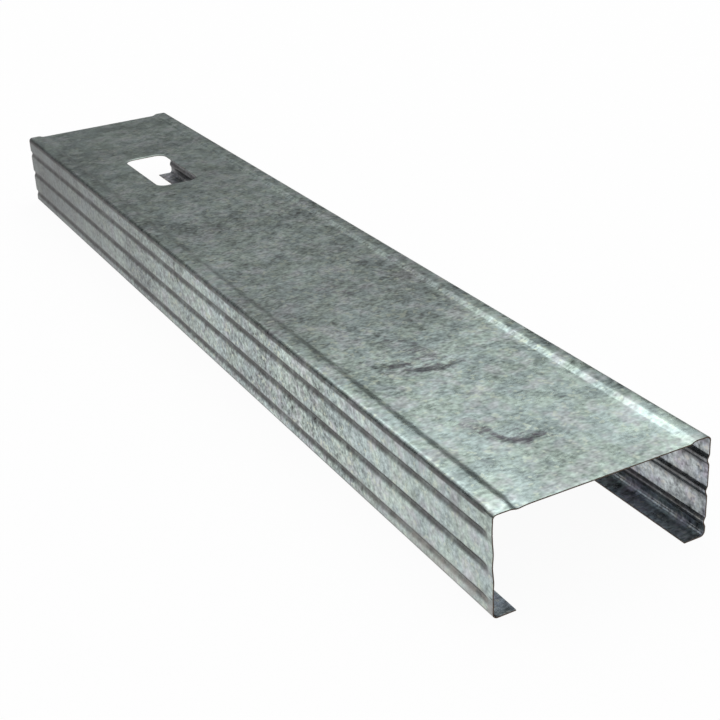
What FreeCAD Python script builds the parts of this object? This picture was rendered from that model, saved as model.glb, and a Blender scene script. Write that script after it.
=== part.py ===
import FreeCAD, Part
import math
import os

# Lipped channel stud, rolled from one strip of galvanised sheet, lying on its lips with the web on top.
# X runs along the stud, Y across the web, Z up. The origin is at the middle of the footprint.

# Overall sizes of the stud, in millimetres
stud_length = 533.0
web_width = 92.1
flange_height = 41.3
lip_length = 9.5
sheet_thickness = 0.5

# Bends of the sheet, measured inside each bend: web to flange, flange to lip, strip edges and grooves
corner_inside_radius = 1.5
lip_bend_inside_radius = 1.6
step_inside_radius = 2.0
groove_inside_radius = 1.4

# Raised strips along both edges of the web, and the slope down to the recessed middle
strip_width = 7.0
step_run = 2.9
step_drop = 1.1

# Shallow grooves rolled along each flange, pressed inwards
groove_count = 3
groove_width = 4.0
groove_depth = 0.9
groove_top_margin = 9.9
groove_bottom_margin = 6.0

# Service hole through the web, near the far end
hole_length = 58.0
hole_width = 24.0
hole_corner_radius = 5.0
hole_from_end = 84.0
cutter_overrun = 2.0

# Places that follow from the sizes above
half_sheet = sheet_thickness / 2
flange_line = web_width / 2 - half_sheet
top_line = flange_height - half_sheet
recess_line = top_line - step_drop
corner_radius = corner_inside_radius + half_sheet
lip_bend_radius = lip_bend_inside_radius + half_sheet
step_radius = step_inside_radius + half_sheet
groove_radius = groove_inside_radius + half_sheet
groove_span = flange_height - groove_top_margin - groove_bottom_margin
groove_pitch = groove_span / (groove_count - 1)


def flange_corners():
    """Corners of the middle of the sheet down one flange, grooves included, from the web to the lip."""
    corners = [(flange_line, top_line, corner_radius)]
    for number in range(groove_count):
        middle = flange_height - groove_top_margin - number * groove_pitch
        corners.append((flange_line, middle + groove_width / 2, groove_radius))
        corners.append((flange_line - groove_depth, middle, groove_radius))
        corners.append((flange_line, middle - groove_width / 2, groove_radius))
    corners.append((flange_line, half_sheet, lip_bend_radius))
    corners.append((web_width / 2 - lip_length, half_sheet, 0))
    return corners


def middle_corners():
    """Corners of the middle of the sheet round the whole section, from one lip's edge to the other's."""
    strip_edge = web_width / 2 - strip_width
    half = [(strip_edge - step_run, recess_line, step_radius), (strip_edge, top_line, step_radius)]
    half = half + flange_corners()
    mirrored = [(-y, z, radius) for y, z, radius in reversed(half)]
    return mirrored + half


def unit(start, end):
    """Direction from one section point to another, one long."""
    y = end[0] - start[0]
    z = end[1] - start[1]
    size = math.hypot(y, z)
    return y / size, z / size


def sheet_face(corners, side):
    """Rounded outline of one face of the sheet: side is +1 for the outer face, -1 for the inner one."""
    shift = side * half_sheet
    points = [(y, z) for y, z, radius in corners]
    runs = [unit(a, b) for a, b in zip(points, points[1:])]
    edges = []
    start = (points[0][0] - runs[0][1] * shift, points[0][1] + runs[0][0] * shift)
    for number in range(1, len(points) - 1):
        before = runs[number - 1]
        after = runs[number]
        turn = math.atan2(before[0] * after[1] - before[1] * after[0], before[0] * after[0] + before[1] * after[1])
        reach = math.tan(turn / 2)
        corner = (points[number][0] - (before[1] + before[0] * reach) * shift,
                  points[number][1] + (before[0] - before[1] * reach) * shift)
        radius = corners[number][2] - math.copysign(1, turn) * shift
        setback = radius * abs(reach)
        first = (corner[0] - before[0] * setback, corner[1] - before[1] * setback)
        last = (corner[0] + after[0] * setback, corner[1] + after[1] * setback)
        centre_way = math.copysign(radius, turn)
        centre = (first[0] - before[1] * centre_way, first[1] + before[0] * centre_way)
        outward = unit(centre, corner)
        top = (centre[0] + outward[0] * radius, centre[1] + outward[1] * radius)
        edges.append(Part.makeLine(at_end(start), at_end(first)))
        edges.append(Part.Arc(at_end(first), at_end(top), at_end(last)).toShape())
        start = last
    final = (points[-1][0] - runs[-1][1] * shift, points[-1][1] + runs[-1][0] * shift)
    edges.append(Part.makeLine(at_end(start), at_end(final)))
    return edges


def at_end(point):
    """Section point, given as Y and Z, placed on the far end of the stud."""
    return FreeCAD.Vector(-stud_length / 2, point[0], point[1])


def section():
    """The end of the sheet as one closed face, its two short edges being the edges of the lips."""
    outer = sheet_face(middle_corners(), 1)
    inner = sheet_face(middle_corners(), -1)
    first_tip = Part.makeLine(outer[0].firstVertex().Point, inner[0].firstVertex().Point)
    last_tip = Part.makeLine(outer[-1].lastVertex().Point, inner[-1].lastVertex().Point)
    wire = Part.Wire(Part.__sortEdges__(outer + [last_tip] + inner + [first_tip]))
    return Part.Face(wire)


def service_hole():
    """Block with four rounded upright edges, standing through the web where the service hole is."""
    low_x = -stud_length / 2 + hole_from_end
    low_z = recess_line - half_sheet - cutter_overrun
    height = sheet_thickness + 2 * cutter_overrun
    block = Part.makeBox(hole_length, hole_width, height, FreeCAD.Vector(low_x, -hole_width / 2, low_z))
    upright = [edge for edge in block.Edges if abs(edge.tangentAt(edge.FirstParameter).z) > 0.9]
    return block.makeFillet(hole_corner_radius, upright)


stud = section().extrude(FreeCAD.Vector(stud_length, 0, 0))
stud = stud.cut(service_hole())
stud = stud.Solids[0]

os.makedirs("parts", exist_ok=True)
stud.exportStep("parts/stud.step")
print("stud", stud.isValid(), round(stud.Volume, 1), stud.BoundBox)
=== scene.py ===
import bmesh
import bpy
import math
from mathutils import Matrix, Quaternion, Vector


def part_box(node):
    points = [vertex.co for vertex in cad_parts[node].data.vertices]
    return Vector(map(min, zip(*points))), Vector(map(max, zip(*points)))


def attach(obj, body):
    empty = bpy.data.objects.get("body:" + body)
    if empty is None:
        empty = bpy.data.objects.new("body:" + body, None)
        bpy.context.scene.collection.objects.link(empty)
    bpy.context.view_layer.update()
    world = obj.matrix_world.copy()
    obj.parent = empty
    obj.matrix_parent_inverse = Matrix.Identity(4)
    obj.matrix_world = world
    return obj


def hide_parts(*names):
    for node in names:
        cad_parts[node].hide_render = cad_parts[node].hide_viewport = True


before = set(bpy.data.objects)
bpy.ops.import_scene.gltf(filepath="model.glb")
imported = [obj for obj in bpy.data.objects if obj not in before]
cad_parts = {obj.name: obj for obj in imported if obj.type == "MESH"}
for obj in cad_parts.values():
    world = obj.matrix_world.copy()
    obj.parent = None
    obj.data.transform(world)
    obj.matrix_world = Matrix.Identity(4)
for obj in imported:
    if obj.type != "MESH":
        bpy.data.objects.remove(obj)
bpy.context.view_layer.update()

# Camera: a product photograph taken from above the near end and to the left, a little tilted,
# with a lens about twice as long as a normal one.
camera_place = Vector((0.593766, -0.252753, 0.282730))
camera_azimuth = math.radians(63.465)
camera_elevation = math.radians(25.459)
camera_roll = math.radians(-3.682)
camera_lens = 70.101

towards_camera = Vector((
    math.sin(camera_azimuth) * math.cos(camera_elevation),
    -math.cos(camera_azimuth) * math.cos(camera_elevation),
    math.sin(camera_elevation)))
bpy.ops.object.camera_add(location=camera_place)
camera = bpy.context.object
camera.name = "camera"
camera.rotation_mode = "QUATERNION"
level_turn = (-towards_camera).to_track_quat("-Z", "Y")
camera.rotation_quaternion = level_turn @ Quaternion((0, 0, 1), camera_roll)
camera.data.lens = camera_lens
camera.data.sensor_width = 36.0
camera.data.clip_start = 0.01
camera.data.clip_end = 30.0
bpy.context.scene.camera = camera

# Studio: a white table, dark drapes standing round it, which the bare metal mirrors as its dark
# tones, an even white light from above and one big soft box behind the far end.
table_size = 16.0
table_white = 0.93
table_glow = 0.95
drape_radius = 3.0
drape_height = 1.57
drape_gap = 0.20
drape_x = 0.4
drape_y = 0.6
drape_grey = 0.20
sky_strength = 1.0
box_size = 1.75
box_watts = 9.0
box_distance = 2.2
box_azimuth = math.radians(-60)
box_elevation = math.radians(55)

bpy.ops.object.select_all(action="DESELECT")
bpy.ops.mesh.primitive_plane_add(size=table_size, location=(0, 0, 0))
floor = bpy.context.object
floor.name = "floor"
floor_paint = bpy.data.materials.new("white_table")
floor_paint.use_nodes = True
nodes = floor_paint.node_tree.nodes
links = floor_paint.node_tree.links
paint = nodes["Principled BSDF"]
paint.inputs["Base Color"].default_value = (table_white, table_white, table_white, 1)
paint.inputs["Roughness"].default_value = 0.9
paint.inputs["Specular IOR Level"].default_value = 0.0

# the table glows for the camera and for the metal that mirrors it, so that it stays white there and
# still takes the stud's shadow
glow = nodes.new("ShaderNodeEmission")
path = nodes.new("ShaderNodeLightPath")
seen = nodes.new("ShaderNodeMath")
seen.operation = "MAXIMUM"
links.new(path.outputs["Is Camera Ray"], seen.inputs[0])
links.new(path.outputs["Is Glossy Ray"], seen.inputs[1])
seen_through = nodes.new("ShaderNodeMath")
seen_through.operation = "MAXIMUM"
links.new(seen.outputs["Value"], seen_through.inputs[0])
links.new(path.outputs["Is Transmission Ray"], seen_through.inputs[1])
share = nodes.new("ShaderNodeMath")
share.operation = "MULTIPLY"
share.inputs[1].default_value = table_glow
links.new(seen_through.outputs["Value"], share.inputs[0])
mixed = nodes.new("ShaderNodeMixShader")
links.new(share.outputs["Value"], mixed.inputs["Fac"])
links.new(paint.outputs["BSDF"], mixed.inputs[1])
links.new(glow.outputs["Emission"], mixed.inputs[2])
links.new(mixed.outputs["Shader"], nodes["Material Output"].inputs["Surface"])
floor.data.materials.append(floor_paint)

# the drapes, which only the metal sees
bpy.ops.object.select_all(action="DESELECT")
bpy.ops.mesh.primitive_cylinder_add(
    vertices=96, radius=drape_radius, depth=drape_height, end_fill_type="NOTHING",
    location=(drape_x, drape_y, drape_gap + drape_height / 2))
drapes = bpy.context.object
drapes.name = "drapes"
drapes.visible_camera = False
drape_cloth = bpy.data.materials.new("drape_cloth")
drape_cloth.use_nodes = True
cloth = drape_cloth.node_tree.nodes["Principled BSDF"]
cloth.inputs["Base Color"].default_value = (drape_grey, drape_grey, drape_grey, 1)
cloth.inputs["Roughness"].default_value = 1.0
cloth.inputs["Specular IOR Level"].default_value = 0.0
drapes.data.materials.append(drape_cloth)

# the soft box and the even light from above
box_way = Vector((
    math.sin(box_azimuth) * math.cos(box_elevation),
    math.cos(box_azimuth) * math.cos(box_elevation),
    math.sin(box_elevation)))
bpy.ops.object.light_add(type="AREA", location=box_way * box_distance)
soft_box = bpy.context.object
soft_box.name = "soft_box"
soft_box.rotation_euler = (-box_way).to_track_quat("-Z", "Y").to_euler()
soft_box.data.shape = "SQUARE"
soft_box.data.size = box_size
soft_box.data.energy = box_watts

sky = bpy.data.worlds.new("sky")
bpy.context.scene.world = sky
sky.use_nodes = True
sky.node_tree.nodes["Background"].inputs["Color"].default_value = (1, 1, 1, 1)
sky.node_tree.nodes["Background"].inputs["Strength"].default_value = sky_strength


# Zinc: the coat that all of the sheet carries, as three shared node groups. Hot-dip galvanising gone
# satin: blue-green grey crystals with pale flecks and violet specks, painted shade along the folds,
# and painted shade that darkens the coat towards the end with the hole, where it is also duller.
def new_node(tree, kind, **settings):
    """A node of that kind with its settings and the plain values of its sockets."""
    node = tree.nodes.new("ShaderNode" + kind)
    for name, value in settings.items():
        if hasattr(node, name):
            setattr(node, name, value)
        else:
            node.inputs[name.replace("_", " ")].default_value = value
    return node


def sums(tree, operation, first, second=None, third=None):
    """One step of arithmetic on sockets or plain numbers."""
    node = tree.nodes.new("ShaderNodeMath")
    node.operation = operation
    for number, part in enumerate((first, second, third)):
        if isinstance(part, (int, float)):
            node.inputs[number].default_value = part
        elif part is not None:
            tree.links.new(part, node.inputs[number])
    return node.outputs[0]


def ramp(tree, value, low, high, to_low=0.0, to_high=1.0, kind="SMOOTHSTEP"):
    """Step of a value from low to high, smooth unless another kind is given."""
    node = tree.nodes.new("ShaderNodeMapRange")
    node.interpolation_type = kind
    tree.links.new(value, node.inputs["Value"])
    ends = (("From Min", low), ("From Max", high), ("To Min", to_low), ("To Max", to_high))
    for name, number in ends:
        node.inputs[name].default_value = number
    return node.outputs["Result"]


def cloud(tree, vector, grain, detail=2.0, roughness=0.5, shift=0.0):
    """Soft random pattern with lumps of about that size in metres; the shift sets like ones apart."""
    moved = new_node(tree, "Mapping", Location=(shift, shift * 0.7, shift * 0.3))
    tree.links.new(vector, moved.inputs["Vector"])
    node = new_node(tree, "TexNoise", Scale=1.0 / grain, Detail=detail, Roughness=roughness)
    tree.links.new(moved.outputs["Vector"], node.inputs["Vector"])
    return node.outputs["Fac"]


def blend_colours(tree, share, first, second, kind="MIX"):
    """Second colour laid over the first by that share."""
    node = tree.nodes.new("ShaderNodeMix")
    node.data_type = "RGBA"
    node.blend_type = kind
    for socket, part in ((node.inputs[0], share), (node.inputs[6], first), (node.inputs[7], second)):
        if isinstance(part, (int, float, tuple)):
            socket.default_value = part
        else:
            tree.links.new(part, socket)
    return node.outputs[2]


def new_group(name, takes, gives):
    """An empty node group with its named sockets, and its input and output nodes."""
    group = bpy.data.node_groups.new(name, "ShaderNodeTree")
    for socket, kind, start in takes:
        made = group.interface.new_socket(name=socket, in_out="INPUT", socket_type="NodeSocket" + kind)
        if start is not None:
            made.default_value = start
    for socket, kind in gives:
        group.interface.new_socket(name=socket, in_out="OUTPUT", socket_type="NodeSocket" + kind)
    return group, group.nodes.new("NodeGroupInput"), group.nodes.new("NodeGroupOutput")


# the mottled crystals: their colour, how dull they are, and the height of the uneven surface; the
# grains are the sizes of the lumps in each random pattern, in metres
zinc_green = (0.415, 0.510, 0.458, 1)
zinc_blue = (0.385, 0.475, 0.460, 1)
zinc_violet = (0.390, 0.395, 0.415, 1)
zinc_pale = (0.650, 0.720, 0.580, 1)
zinc_dark = (0.150, 0.155, 0.180, 1)
crystal_stretch = (1.0, 0.6, 1.0)
fine_grain = 0.0014
cell_grain = 0.0030
blot_grain = 0.0090
drift_grain = 0.0400
tint_grain = 0.0120
speck_grain = 0.0030
fleck_grain = 0.0026
spangle, given, made = new_group(
    "zinc_spangle", (("Place", "Vector", None), ("Contrast", "Float", 1.0)),
    (("Colour", "Color"), ("Roughness", "Float"), ("Height", "Float")))
place = given.outputs["Place"]
contrast = given.outputs["Contrast"]
drawn = new_node(spangle, "Mapping", Scale=crystal_stretch)
spangle.links.new(place, drawn.inputs["Vector"])
drawn = drawn.outputs["Vector"]
fine = cloud(spangle, drawn, fine_grain, 1.0, 0.6)
cells = cloud(spangle, drawn, cell_grain, 1.0, 0.6, 0.31)
blots = cloud(spangle, place, blot_grain, 2.0, 0.7, 0.57)
drifts = cloud(spangle, place, drift_grain, 2.0, 0.6, 0.83)
tints = cloud(spangle, place, tint_grain, 3.0, 0.7, 0.13)
specks = cloud(spangle, place, speck_grain, 1.5, 0.5, 0.47)
flecks = cloud(spangle, place, fleck_grain, 1.0, 0.5, 0.71)
colour = blend_colours(spangle, ramp(spangle, tints, 0.42, 0.58), zinc_blue, zinc_green)
colour = blend_colours(spangle, ramp(spangle, blots, 0.46, 0.68, 0.0, 0.62), colour, zinc_violet)
lift = 1.0
light_and_dark = ((fine, 1.70), (cells, 1.15), (blots, 0.75), (drifts, 1.25))
for pattern, strength in light_and_dark:
    part = sums(spangle, "MULTIPLY", sums(spangle, "SUBTRACT", pattern, 0.5), strength)
    if pattern in (fine, cells):
        part = sums(spangle, "MULTIPLY", part, contrast)
    lift = sums(spangle, "ADD", part, lift)
colour = blend_colours(spangle, 1.0, colour, lift, "MULTIPLY")
pale_flecks = sums(spangle, "MULTIPLY", ramp(spangle, flecks, 0.61, 0.71, 0.0, 0.58), contrast)
colour = blend_colours(spangle, pale_flecks, colour, zinc_pale)
dark_specks = sums(spangle, "MULTIPLY", ramp(spangle, specks, 0.38, 0.29, 0.0, 0.42), contrast)
colour = blend_colours(spangle, dark_specks, colour, zinc_dark)
spangle.links.new(colour, made.inputs["Colour"])
spangle.links.new(ramp(spangle, blots, 0.35, 0.65, 0.26, 0.34), made.inputs["Roughness"])
height = sums(spangle, "MULTIPLY", blots, 0.7)
height = sums(spangle, "MULTIPLY_ADD", cells, 0.5, height)
height = sums(spangle, "MULTIPLY_ADD", fine, 0.2, height)
spangle.links.new(height, made.inputs["Height"])

# painted shade along a fold of the flanges: 1 in the fold at the given height, 0 on the flats beside it
fold_shade_from = 0.0437
fold_shade_full = 0.0441
fold_shade_group, given, made = new_group(
    "painted_fold_shade",
    (("Place", "Vector", None), ("Height", "Float", 0.02), ("Half Width", "Float", 0.002)),
    (("Mask", "Float"),))
split = new_node(fold_shade_group, "SeparateXYZ")
fold_shade_group.links.new(given.outputs["Place"], split.inputs[0])
away = sums(fold_shade_group, "ABSOLUTE", sums(fold_shade_group, "SUBTRACT", split.outputs["Z"], given.outputs["Height"]))
line = ramp(fold_shade_group, sums(fold_shade_group, "DIVIDE", away, given.outputs["Half Width"]), 1.15, 0.35)
on_flange = ramp(fold_shade_group, sums(fold_shade_group, "ABSOLUTE", split.outputs["Y"]), fold_shade_from, fold_shade_full)
patchy = ramp(fold_shade_group, cloud(fold_shade_group, given.outputs["Place"], 0.008, 2.0), 0.30, 0.60, 0.75, 1.0)
mask = sums(fold_shade_group, "MULTIPLY", sums(fold_shade_group, "MULTIPLY", line, on_flange), patchy)
fold_shade_group.links.new(mask, made.inputs["Mask"])

# painted shade that darkens the coat towards the far end, where the coat is also duller: 0 at the
# near end, rising towards the far end, at other places along the stud on the web than on the flanges
web_until = 0.0440
flange_from = 0.0455
web_shade_starts = 0.20
web_shade_full = 0.08
web_shade_and_dullness = 0.50
flange_shade_starts = 0.11
flange_shade_full = -0.235
flange_shade_and_dullness = 0.78
far_shade_and_dullness, given, made = new_group("painted_far_shade_and_dullness", (("Place", "Vector", None),), (("Mask", "Float"),))
split = new_node(far_shade_and_dullness, "SeparateXYZ")
far_shade_and_dullness.links.new(given.outputs["Place"], split.inputs[0])
flange_share = ramp(far_shade_and_dullness, sums(far_shade_and_dullness, "ABSOLUTE", split.outputs["Y"]), web_until, flange_from)
flange_part = ramp(
    far_shade_and_dullness, split.outputs["X"], flange_shade_starts, flange_shade_full, 0.0, flange_shade_and_dullness, "LINEAR")
flange_part = sums(far_shade_and_dullness, "MULTIPLY", flange_part, flange_share)
web_part = ramp(far_shade_and_dullness, split.outputs["X"], web_shade_starts, web_shade_full, 0.0, web_shade_and_dullness)
web_part = sums(far_shade_and_dullness, "MULTIPLY", web_part, sums(far_shade_and_dullness, "SUBTRACT", 1.0, flange_share))
far_shade_and_dullness.links.new(sums(far_shade_and_dullness, "ADD", flange_part, web_part), made.inputs["Mask"])

# Stud: one strip of thin galvanised steel sheet, cold-rolled into a lipped channel and sheared to
# length. Raised strips, slopes and grooves are rolled in, the service hole is punched through the
# web, and handling has left creases in the web and bruised cut ends, whose bare steel has gone brown.
stud_low, stud_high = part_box("stud")
stud_length = stud_high[0] - stud_low[0]
stud_width = stud_high[1] - stud_low[1]
stud_height = stud_high[2] - stud_low[2]
sheet = 0.0005
strip_width = 0.0075
slope_run = 0.0019
slope_drop = 0.0008
groove_count = 3
groove_width = 0.0040
groove_depth = 0.0009
first_groove = 0.0099
groove_pitch = 0.0127
lip_length = 0.0095
hole_from_end = 0.084
hole_length = 0.058
hole_width = 0.024
hole_corner = 0.005

# lines of the middle of the sheet in the section
side_line = stud_width / 2 - sheet / 2
top_line = stud_height - sheet / 2
web_line = top_line - slope_drop
bottom_line = sheet / 2
half_web = stud_width / 2 - strip_width - slope_run
near_end = stud_length / 2


def choose(kind, test):
    """Selects in edit mode only those vertices, edges or faces whose middle passes the test."""
    bpy.ops.mesh.select_mode(type=kind)
    bpy.ops.mesh.select_all(action="DESELECT")
    shape = bmesh.from_edit_mesh(stud.data)
    if kind == "VERT":
        for vertex in shape.verts:
            vertex.select = test(vertex.co, vertex)
    elif kind == "EDGE":
        for edge in shape.edges:
            edge.select = test((edge.verts[0].co + edge.verts[1].co) / 2, edge)
    else:
        for face in shape.faces:
            face.select = test(face.calc_center_median(), face)
    shape.select_flush_mode()
    bmesh.update_edit_mesh(stud.data)


def fold_out(across, up):
    """Draws the selected edge of the sheet out by that much, as the next flat of the section."""
    bpy.ops.mesh.extrude_region_move(TRANSFORM_OT_translate={"value": (0, across, up)})


def near(value, aim, reach=0.00005):
    """Whether two measures are the same, or no further apart than the given reach."""
    return abs(value - aim) < reach


# half of the section, from the middle of the web out to the edge of the lip
bpy.ops.object.select_all(action="DESELECT")
bpy.ops.mesh.primitive_plane_add(size=1.0, location=(0, 0, 0))
stud = bpy.context.object
stud.name = "stud_sheet"
bpy.ops.object.mode_set(mode="EDIT")
bpy.ops.transform.resize(value=(stud_length, half_web, 1))
bpy.ops.transform.translate(value=(0, half_web / 2, web_line))
choose("EDGE", lambda middle, edge: near(middle.y, half_web))
fold_out(slope_run, slope_drop)
fold_out(strip_width - sheet / 2, 0)
reached = top_line
groove_middles = []
for number in range(groove_count):
    middle_height = stud_height - first_groove - number * groove_pitch
    groove_middles.append(middle_height)
    fold_out(0, middle_height + groove_width / 2 - reached)
    fold_out(-groove_depth, -groove_width / 2)
    fold_out(groove_depth, -groove_width / 2)
    reached = middle_height - groove_width / 2
fold_out(0, bottom_line - reached)
fold_out(sheet / 2 - lip_length, 0)

# the folds are rounded: slopes and grooves first, then the corner and the lip's bend
slope_round = 0.0007
groove_round = 0.00074
groove_rim_round = 0.00036
corner_round = 0.00175
lip_round = 0.00185


def round_folds(offset, segments, test):
    """Rounds those folds of the sheet whose middle passes the test."""
    choose("EDGE", test)
    bpy.ops.mesh.bevel(offset=offset, segments=segments, affect="EDGES", clamp_overlap=False)


strip_edge = stud_width / 2 - strip_width
groove_rims = [height + way * groove_width / 2 for height in groove_middles for way in (-1, 1)]
round_folds(slope_round, 5, lambda middle, edge: near(middle.y, half_web) or near(middle.y, strip_edge))
round_folds(groove_round, 5, lambda middle, edge: (
    near(middle.y, side_line - groove_depth) and middle.z > bottom_line * 2))
round_folds(groove_rim_round, 3, lambda middle, edge: (
    near(middle.y, side_line) and any(near(middle.z, rim) for rim in groove_rims)))
round_folds(corner_round, 7, lambda middle, edge: near(middle.y, side_line) and near(middle.z, top_line))
round_folds(lip_round, 7, lambda middle, edge: near(middle.y, side_line) and near(middle.z, bottom_line))

# the sheet is divided along and across, so that creases and wavy edges can be pushed into it
wide_flat = 0.0036


def same_on(edge, *axes):
    """Whether both ends of the edge have the same place on the given axes, 0 for X to 2 for Z."""
    start, end = (corner.co for corner in edge.verts)
    return all(near(start[axis], end[axis]) for axis in axes)


choose("EDGE", lambda middle, edge: edge.calc_length() > stud_length * 0.9)
bpy.ops.mesh.subdivide(number_cuts=100)
choose("EDGE", lambda middle, edge: same_on(edge, 1, 2))
bpy.ops.mesh.subdivide(number_cuts=1)
choose("EDGE", lambda middle, edge: edge.calc_length() > half_web * 0.9)
bpy.ops.mesh.subdivide(number_cuts=13)
choose("EDGE", lambda middle, edge: same_on(edge, 0) and edge.calc_length() > wide_flat)
bpy.ops.mesh.subdivide(number_cuts=2)
bpy.ops.object.mode_set(mode="OBJECT")
mirror = stud.modifiers.new("mirror", "MIRROR")
mirror.use_axis = (False, True, False)
mirror.merge_threshold = 0.00001
bpy.ops.object.modifier_apply(modifier="mirror")

# the rolls stood a little to one side: the slope beside the left flange is wider and runs askew along
# the stud, the right strip tilts up along its inner edge, and the section leans towards the right
slope_middle = half_web + slope_run / 2
slope_reach = 0.0022
left_slope_shift = 0.0002
left_slope_stretch = 1.25
left_slope_fixed = 0.0012
left_slope_turn = -0.0018
right_slope_shift = 0.0004
strip_tilt = 0.00008
tilted_width = 0.0036
tilted_middle = 0.0421
tilted_reach = 0.0016
tilt_axis = 0.0442
section_lean = 0.0005
lean_steps = 8


def choose_slope(side):
    """Selects the slope between the web and the raised strip on that side, with its rounded folds."""
    choose("VERT", lambda place, vertex: (
        near(place.y, side * slope_middle, slope_reach) and place.z > web_line - sheet))


bpy.ops.object.mode_set(mode="EDIT")
choose_slope(-1)
bpy.ops.transform.translate(value=(0, left_slope_shift, 0))
bpy.ops.transform.resize(
    value=(1, left_slope_stretch, 1), center_override=(0, left_slope_fixed - slope_middle, web_line))
bpy.ops.transform.rotate(
    value=left_slope_turn, orient_axis="Z", center_override=(0, left_slope_shift - slope_middle, web_line))
choose_slope(1)
bpy.ops.transform.translate(value=(0, right_slope_shift, 0))
bpy.ops.transform.resize(
    value=(1, 1, 1 + strip_tilt / slope_drop), center_override=(0, slope_middle, web_line))
choose("VERT", lambda place, vertex: near(place.y, tilted_middle, tilted_reach) and place.z > web_line)
bpy.ops.transform.rotate(
    value=strip_tilt / tilted_width, orient_axis="X", center_override=(0, tilt_axis, top_line))
for step in range(lean_steps):
    choose("VERT", lambda place, vertex: place.z > top_line * (step + 0.5) / lean_steps)
    bpy.ops.transform.translate(value=(0, section_lean / lean_steps, 0))

# the shears stood a little out of square, so the right side is the shorter one
out_of_square = -0.0163
choose("VERT", lambda place, vertex: near(place.x, near_end))
bpy.ops.transform.rotate(value=out_of_square, orient_axis="Z", center_override=(near_end, -side_line, 0))
bpy.ops.object.mode_set(mode="OBJECT")

# the cut-out for the hole, a little larger all round, whose edge is then drawn in and down by the punch
rim = 0.0008
rim_drop = 0.00025
punch_height = 0.01
hole_middle = -stud_length / 2 + hole_from_end + hole_length / 2
bpy.ops.object.select_all(action="DESELECT")
bpy.ops.mesh.primitive_cube_add(size=1.0, location=(0, 0, 0))
punch = bpy.context.object
punch.name = "punch"
bpy.ops.object.mode_set(mode="EDIT")
bpy.ops.transform.resize(value=(hole_length + 2 * rim, hole_width + 2 * rim, punch_height))
bpy.ops.transform.translate(value=(hole_middle, 0, web_line))
bpy.ops.mesh.select_mode(type="EDGE")
bpy.ops.mesh.select_all(action="DESELECT")
block = bmesh.from_edit_mesh(punch.data)
for edge in block.edges:
    edge.select = same_on(edge, 0, 1)
bmesh.update_edit_mesh(punch.data)
bpy.ops.mesh.bevel(offset=hole_corner + rim, segments=10, affect="EDGES", clamp_overlap=False)
bpy.ops.object.mode_set(mode="OBJECT")
bpy.ops.object.select_all(action="DESELECT")
stud.select_set(True)
bpy.context.view_layer.objects.active = stud
cut = stud.modifiers.new("cut", "BOOLEAN")
cut.operation = "DIFFERENCE"
cut.solver = "EXACT"
cut.object = punch
bpy.ops.object.modifier_apply(modifier="cut")
bpy.data.objects.remove(punch)
bpy.ops.object.mode_set(mode="EDIT")


def at_hole(middle):
    """Whether that place is in or round the hole."""
    return abs(middle.x - hole_middle) < hole_length and abs(middle.y) < hole_width


# the cut leaves the punch's own faces in the hole, which go
below_web = web_line - 0.0002
choose("FACE", lambda middle, face: middle.z < below_web and at_hole(middle))
bpy.ops.mesh.delete(type="FACE")
choose("EDGE", lambda middle, edge: edge.is_boundary and at_hole(middle))
shrink = (1 - rim / (hole_length + 2 * rim), 1 - rim / (hole_width + 2 * rim), 1)
for part in (1, 2):
    bpy.ops.mesh.extrude_region_move(TRANSFORM_OT_translate={"value": (0, 0, -rim_drop * part / 3)})
    bpy.ops.transform.resize(value=shrink, center_override=(hole_middle, 0, web_line))


def press(places, reached, push, reach):
    """Pushes the sheet at the given places, and what lies within reach of them less and less."""
    first = min(aim.x for aim in places) - reached
    last = max(aim.x for aim in places) + reached
    choose("VERT", lambda place, vertex: (
        first < place.x < last and any((place - aim).length < reached for aim in places)))
    bpy.ops.transform.translate(
        value=push, use_proportional_edit=True, proportional_edit_falloff="SMOOTH", proportional_size=reach)


def along(points, back=0.0, spacing=0.0006):
    """Places spaced along a bent line on the web, moved back towards the far end by that much."""
    places = []
    for start, end in zip(points, points[1:]):
        steps = max(1, round((end - start).length / spacing))
        places += [start.lerp(end, step / steps) - Vector((back, 0, 0)) for step in range(steps + 1)]
    return places


# marks of handling: two creases across the web near the near end, the first one in two pieces, each
# with a steep front towards the near end that dies out behind; the web is divided finer there
creased_from = 0.138
creased_to = 0.240
creased_half = 0.028
choose("FACE", lambda middle, face: (
    creased_from < middle.x < creased_to and abs(middle.y) < creased_half and near(middle.z, web_line)))
bpy.ops.mesh.subdivide(number_cuts=2)


def on_web(*places):
    """Places on the web, given along and across the stud."""
    return [Vector((x, y, web_line)) for x, y in places]


far_crease = on_web((0.1512, -0.0178), (0.1513, -0.0160), (0.1520, -0.0129), (0.1524, -0.0115))
middle_crease = on_web(
    (0.1595, -0.0125), (0.1597, -0.0077), (0.1613, -0.0058), (0.1629, -0.0036), (0.1629, -0.0010))
middle_tail = on_web((0.1629, 0.0001), (0.1610, 0.0065), (0.1625, 0.0079))
near_start = on_web((0.2115, -0.0201), (0.2140, -0.0160), (0.2219, -0.0151), (0.2261, -0.0130))
near_crease = on_web(
    (0.2266, -0.0124), (0.2286, -0.0113), (0.2299, -0.0092), (0.2301, -0.0053), (0.2298, -0.0030))
near_tail = on_web((0.2296, -0.0016), (0.2292, 0.0010))
crease_line = 0.0006
# how far behind the crease each push is, how deep it goes and how far it spreads
crease_pushes = ((0.0002, 0.00005, 0.0024), (0.0020, 0.00007, 0.0036), (0.0042, 0.00006, 0.0060))
for crease in (far_crease, middle_crease + middle_tail, near_crease):
    for back, push, reach in crease_pushes:
        press(along(crease, back), crease_line, (0, 0, -push), reach)

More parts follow.
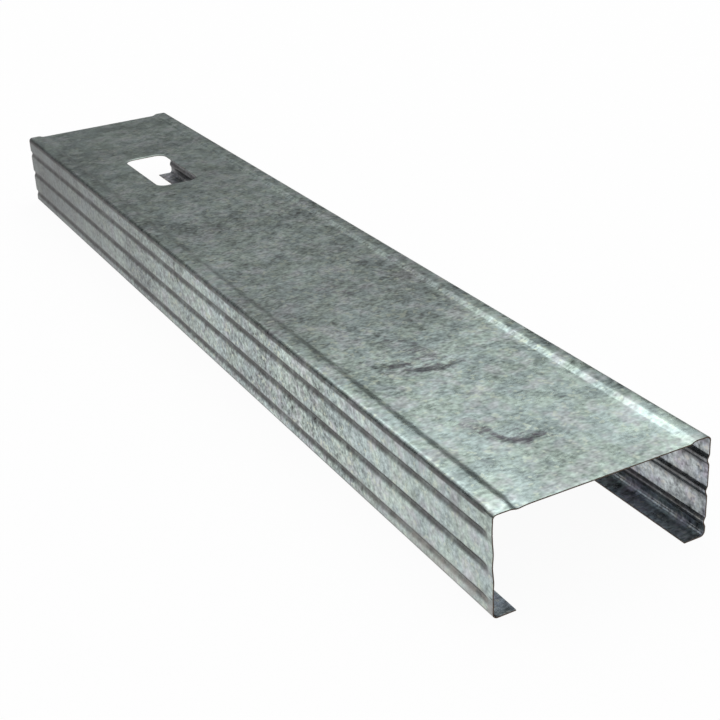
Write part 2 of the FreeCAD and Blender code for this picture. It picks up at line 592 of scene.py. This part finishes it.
# the shears flattened the left flange's grooves at the near end: rings round the cut end, each with
# its distance from the end and the share of the grooves' depth that is left there
bruised_length = 0.0130
ring_width = 0.0030
flattened_rings = ((0.0030, 0.10), (0.0056, 0.60))
choose("FACE", lambda middle, face: middle.x > near_end - bruised_length)
bpy.ops.mesh.subdivide(number_cuts=1)
for ring, keep in flattened_rings:
    for height in groove_middles:
        choose("VERT", lambda place, vertex: (
            ring - ring_width < near_end - place.x < ring
            and place.y < 0 and near(place.z, height, groove_width / 2)))
        flat = section_lean * height / top_line - side_line
        bpy.ops.transform.resize(value=(1, keep, 1), center_override=(near_end, flat, height))

# they left the cut edges of the flanges wavy: side, height and sideways push of each wave, the last
# of them the bulge of the right lip's bend
wave_core = 0.0012
wave_reach = 0.0055
flange_waves = (
    (-1, 0.0252, 0.0002), (-1, 0.0149, 0.0003), (-1, 0.0330, -0.0002), (-1, 0.0200, -0.0002),
    (1, 0.0255, 0.0002), (1, 0.0120, 0.0002), (1, 0.0030, 0.0006))
for side, height, push in flange_waves:
    press([Vector((near_end, side * side_line, height))], wave_core, (0, push, 0), wave_reach)

# and pressed the ends of both raised strips down: side, places across the strip, how near them the
# sheet is pushed, how deep, and how far the push spreads
strip_spacing = 0.0007
strip_presses = ((-1, 8, 0.0008, 0.0006, 0.0075), (1, 5, 0.0012, 0.0007, 0.0070))
for side, count, core, push, reach in strip_presses:
    strip_end = [
        Vector((near_end, side * (strip_edge + step * strip_spacing), top_line)) for step in range(count)]
    press(strip_end, core, (0, 0, -push), reach)

# dirt and painted shade in the creases and smeared round them, kept as a value on the sheet that the
# material reads: its line, how much of it there is, and how far it reaches to each side
stains_and_shade = (
    (far_crease, 0.88, 0.0044),
    (middle_crease, 0.98, 0.0045),
    (middle_tail, 0.55, 0.0026),
    (near_start, 0.92, 0.0040),
    (near_crease, 0.98, 0.0044),
    (near_tail, 0.30, 0.0026),
    (near_start + near_crease, 0.42, 0.0085),
    (far_crease, 0.36, 0.0080),
    (middle_crease, 0.36, 0.0080),
    (on_web((0.1340, -0.0065), (0.1600, -0.0010)), 0.32, 0.0120),
    (on_web((0.2180, -0.0100), (0.2230, -0.0060)), 0.26, 0.0080),
    (on_web((0.0640, 0.0000), (0.0720, 0.0040)), 0.30, 0.0150))
stain_and_shade_back = 0.0003
stain_and_shade_spacing = 0.0008
stain_and_shade_length = 0.045
stain_and_shade_half = 0.034
shape = bmesh.from_edit_mesh(stud.data)
dirt_and_shade = shape.verts.layers.float.new("dirt_and_shade")
for crease, amount, half in stains_and_shade:
    crease_places = along(crease, stain_and_shade_back, stain_and_shade_spacing)
    for vertex in shape.verts:
        place = vertex.co
        beside = abs(place.x - crease_places[0].x) < stain_and_shade_length and abs(place.y) < stain_and_shade_half
        if beside and place.z > web_line - 2 * sheet:
            nearest = min((place - aim).length for aim in crease_places)
            vertex[dirt_and_shade] = max(vertex[dirt_and_shade], amount * max(0.0, 1 - nearest / half))
bmesh.update_edit_mesh(stud.data)
bpy.ops.object.mode_set(mode="OBJECT")

# the coat on each side of the sheet, and the bare steel of its cut edges
flank_tint = (1.08, 1.035, 1.06, 1)
# painted shade: the grey that the coat darkens to towards the far end
far_shade_colour = (0.12, 0.12, 0.12, 1)
# painted shade in the folds
fold_shade_colour = (0.06, 0.055, 0.055, 1)
film_colour = (0.36, 0.335, 0.31, 1)
# dirt and painted shade in the creases
crease_dirt_and_shade_colour = (0.10, 0.085, 0.11, 1)
uneven_height = 0.000022

# where the coat changes: the crystals' contrast along the stud, the flanges across it, the lips,
# whose inner faces are painted lighter, the brownish film above the floor, and the last millimetres
# before the cut end, where the painted shade in the folds fades out
calm_near_from = 0.12
calm_near_full = 0.23
calm_near = 0.58
calm_far_from = -0.05
calm_far_full = -0.20
calm_far = 0.70
flank_from = 0.0440
flank_full = 0.0450
lip_top = 0.0030
lip_full = 0.0012
film_top = 0.0100
film_full = 0.0050
film_far = 0.15
film_near = 0.25
film_grain = 0.006
shade_fade_length = 0.0055
shade_fade_full = 0.0010
shade_fade_share = 0.3
ragged_grain = 0.0017
ragged_stretch = (1.0, 0.45, 1.0)


def zinc_coat(name, shaded_folds, fold_shade_share, film_share, shade_tint, lip_light, contrast):
    """One side of the sheet: mottled zinc, darkened towards the far end and in the folds by painted
    shade, with dirt and painted shade in the creases.
    """
    coat = bpy.data.materials.new(name)
    coat.use_nodes = True
    tree = coat.node_tree
    shader = tree.nodes["Principled BSDF"]
    shader.inputs["Metallic"].default_value = 1.0
    shader.inputs["Specular Tint"].default_value = (0.80, 0.80, 0.80, 1)
    where = new_node(tree, "TexCoord").outputs["Object"]
    spangled = new_node(tree, "Group", node_tree=spangle)
    far_shade_and_duller = new_node(tree, "Group", node_tree=far_shade_and_dullness)
    tree.links.new(where, spangled.inputs["Place"])
    tree.links.new(where, far_shade_and_duller.inputs["Place"])
    split = new_node(tree, "SeparateXYZ")
    tree.links.new(where, split.inputs[0])
    along_stud, across_stud, up = split.outputs

    # the crystals stand out most in the middle, less at the near end and least at the far end
    clearer = ramp(tree, along_stud, calm_near_from, calm_near_full, contrast, contrast * calm_near)
    less_far = ramp(tree, along_stud, calm_far_full, calm_far_from, calm_far, 1.0)
    clearer = sums(tree, "MULTIPLY", clearer, less_far)
    tree.links.new(clearer, spangled.inputs["Contrast"])
    flank = ramp(tree, sums(tree, "ABSOLUTE", across_stud), flank_from, flank_full)
    colour = blend_colours(tree, flank, spangled.outputs["Colour"], flank_tint, "MULTIPLY")
    # the inside copy of the coat is darker and more violet: painted shade, with a violet tint
    colour = blend_colours(tree, 1.0, colour, shade_tint, "MULTIPLY")
    # painted light: the inner faces of the lips are made lighter
    on_lips = ramp(tree, up, lip_top, lip_full)
    colour = blend_colours(tree, on_lips, colour, lip_light, "MULTIPLY")
    # painted shade: the coat darkens towards the far end
    colour = blend_colours(tree, far_shade_and_duller.outputs["Mask"], colour, far_shade_colour)

    # painted shade in the folds, fading over the last millimetres before the near end
    folds = None
    for height, half in shaded_folds:
        fold_shade_node = new_node(tree, "Group", node_tree=fold_shade_group)
        fold_shade_node.inputs["Height"].default_value = height
        fold_shade_node.inputs["Half Width"].default_value = half
        tree.links.new(where, fold_shade_node.inputs["Place"])
        mask = fold_shade_node.outputs["Mask"]
        folds = mask if folds is None else sums(tree, "MAXIMUM", folds, mask)
    before_end = ramp(tree, along_stud, near_end - shade_fade_full, near_end - shade_fade_length, shade_fade_share, 1.0)
    folds = sums(tree, "MULTIPLY", folds, sums(tree, "MULTIPLY", before_end, fold_shade_share))
    # the folds are painted darker, as painted shade
    colour = blend_colours(tree, folds, colour, fold_shade_colour)

    # a brownish film low on the flange, near the near end
    low_down = ramp(tree, up, film_top, film_full)
    film = sums(tree, "MULTIPLY", low_down, ramp(tree, along_stud, film_far, film_near))
    patches = cloud(tree, where, film_grain, 4.0, 0.7, 0.4)
    patches = ramp(tree, patches, 0.38, 0.62, film_share * 0.2, film_share)
    colour = blend_colours(tree, sums(tree, "MULTIPLY", film, patches), colour, film_colour)

    # dirt and painted shade in the creases, with ragged borders
    crease_marks = new_node(tree, "Attribute", attribute_name="dirt_and_shade").outputs["Fac"]
    streaks = new_node(tree, "Mapping", Scale=ragged_stretch)
    tree.links.new(where, streaks.inputs["Vector"])
    ragged = cloud(tree, streaks.outputs["Vector"], ragged_grain, 3.0, 0.65, 0.22)
    ragged = sums(tree, "SUBTRACT", ragged, 0.5)
    ragged = sums(tree, "MULTIPLY", ragged, ramp(tree, crease_marks, 0.0, 0.30, 0.0, 3.6))
    crease_dirt_and_shade = ramp(tree, sums(tree, "ADD", crease_marks, ragged), 0.12, 0.95, 0.0, 0.80, "LINEAR")
    colour = blend_colours(tree, crease_dirt_and_shade, colour, crease_dirt_and_shade_colour)
    tree.links.new(colour, shader.inputs["Base Color"])

    roughness = sums(tree, "MULTIPLY_ADD", far_shade_and_duller.outputs["Mask"], 0.16, spangled.outputs["Roughness"])
    tree.links.new(roughness, shader.inputs["Roughness"])
    bump = new_node(tree, "Bump", Strength=1.0, Distance=uneven_height)
    tree.links.new(spangled.outputs["Height"], bump.inputs["Height"])
    tree.links.new(bump.outputs["Normal"], shader.inputs["Normal"])
    return coat


# heights and half widths of the folds with painted shade: the grooves, the corner and, outside, the
# lip's bend; the inside is the violet one, darker as painted shade, with its lips painted lighter
top_groove, middle_groove, low_groove = groove_middles
outer_folds = (
    (top_groove, 0.0021), (middle_groove, 0.0021), (low_groove, 0.0021),
    (stud_height - 0.0017, 0.0011), (0.0008, 0.0014))
inner_folds = (
    (top_groove - 0.0006, 0.0034), (middle_groove - 0.0006, 0.0034), (low_groove, 0.0022),
    (stud_height - 0.0020, 0.0024))
plain = (1, 1, 1, 1)
inside_shade_tint = (0.86, 0.79, 0.87, 1)
inside_lip_light = (1.80, 1.74, 1.78, 1)
galvanised = zinc_coat("galvanised", outer_folds, 0.86, 0.60, plain, plain, 1.2)
galvanised_inside = zinc_coat(
    "galvanised_inside", inner_folds, 0.80, 0.0, inside_shade_tint, inside_lip_light, 1.9)
cut_steel = bpy.data.materials.new("cut_steel")
cut_steel.use_nodes = True
bare = cut_steel.node_tree.nodes["Principled BSDF"]
bare.inputs["Base Color"].default_value = (0.110, 0.080, 0.060, 1)
bare.inputs["Metallic"].default_value = 1.0
bare.inputs["Roughness"].default_value = 0.6
for coat in (galvanised, galvanised_inside, cut_steel):
    stud.data.materials.append(coat)

# the sheet's thickness, half of it to each side, with bare steel on its cut edges
sharp_angle = math.radians(32)
thicken = stud.modifiers.new("thicken", "SOLIDIFY")
thicken.thickness = sheet
thicken.offset = 0
thicken.material_offset = 1
thicken.material_offset_rim = 2
bpy.ops.object.modifier_apply(modifier="thicken")
bpy.ops.object.mode_set(mode="EDIT")
bpy.ops.mesh.select_all(action="SELECT")
bpy.ops.mesh.remove_doubles(threshold=0.000001)
bpy.ops.mesh.normals_make_consistent(inside=False)
bpy.ops.object.mode_set(mode="OBJECT")
bpy.ops.object.shade_smooth_by_angle(angle=sharp_angle)

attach(stud, "root")
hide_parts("stud")

bpy.context.scene.view_settings.view_transform = "Standard"
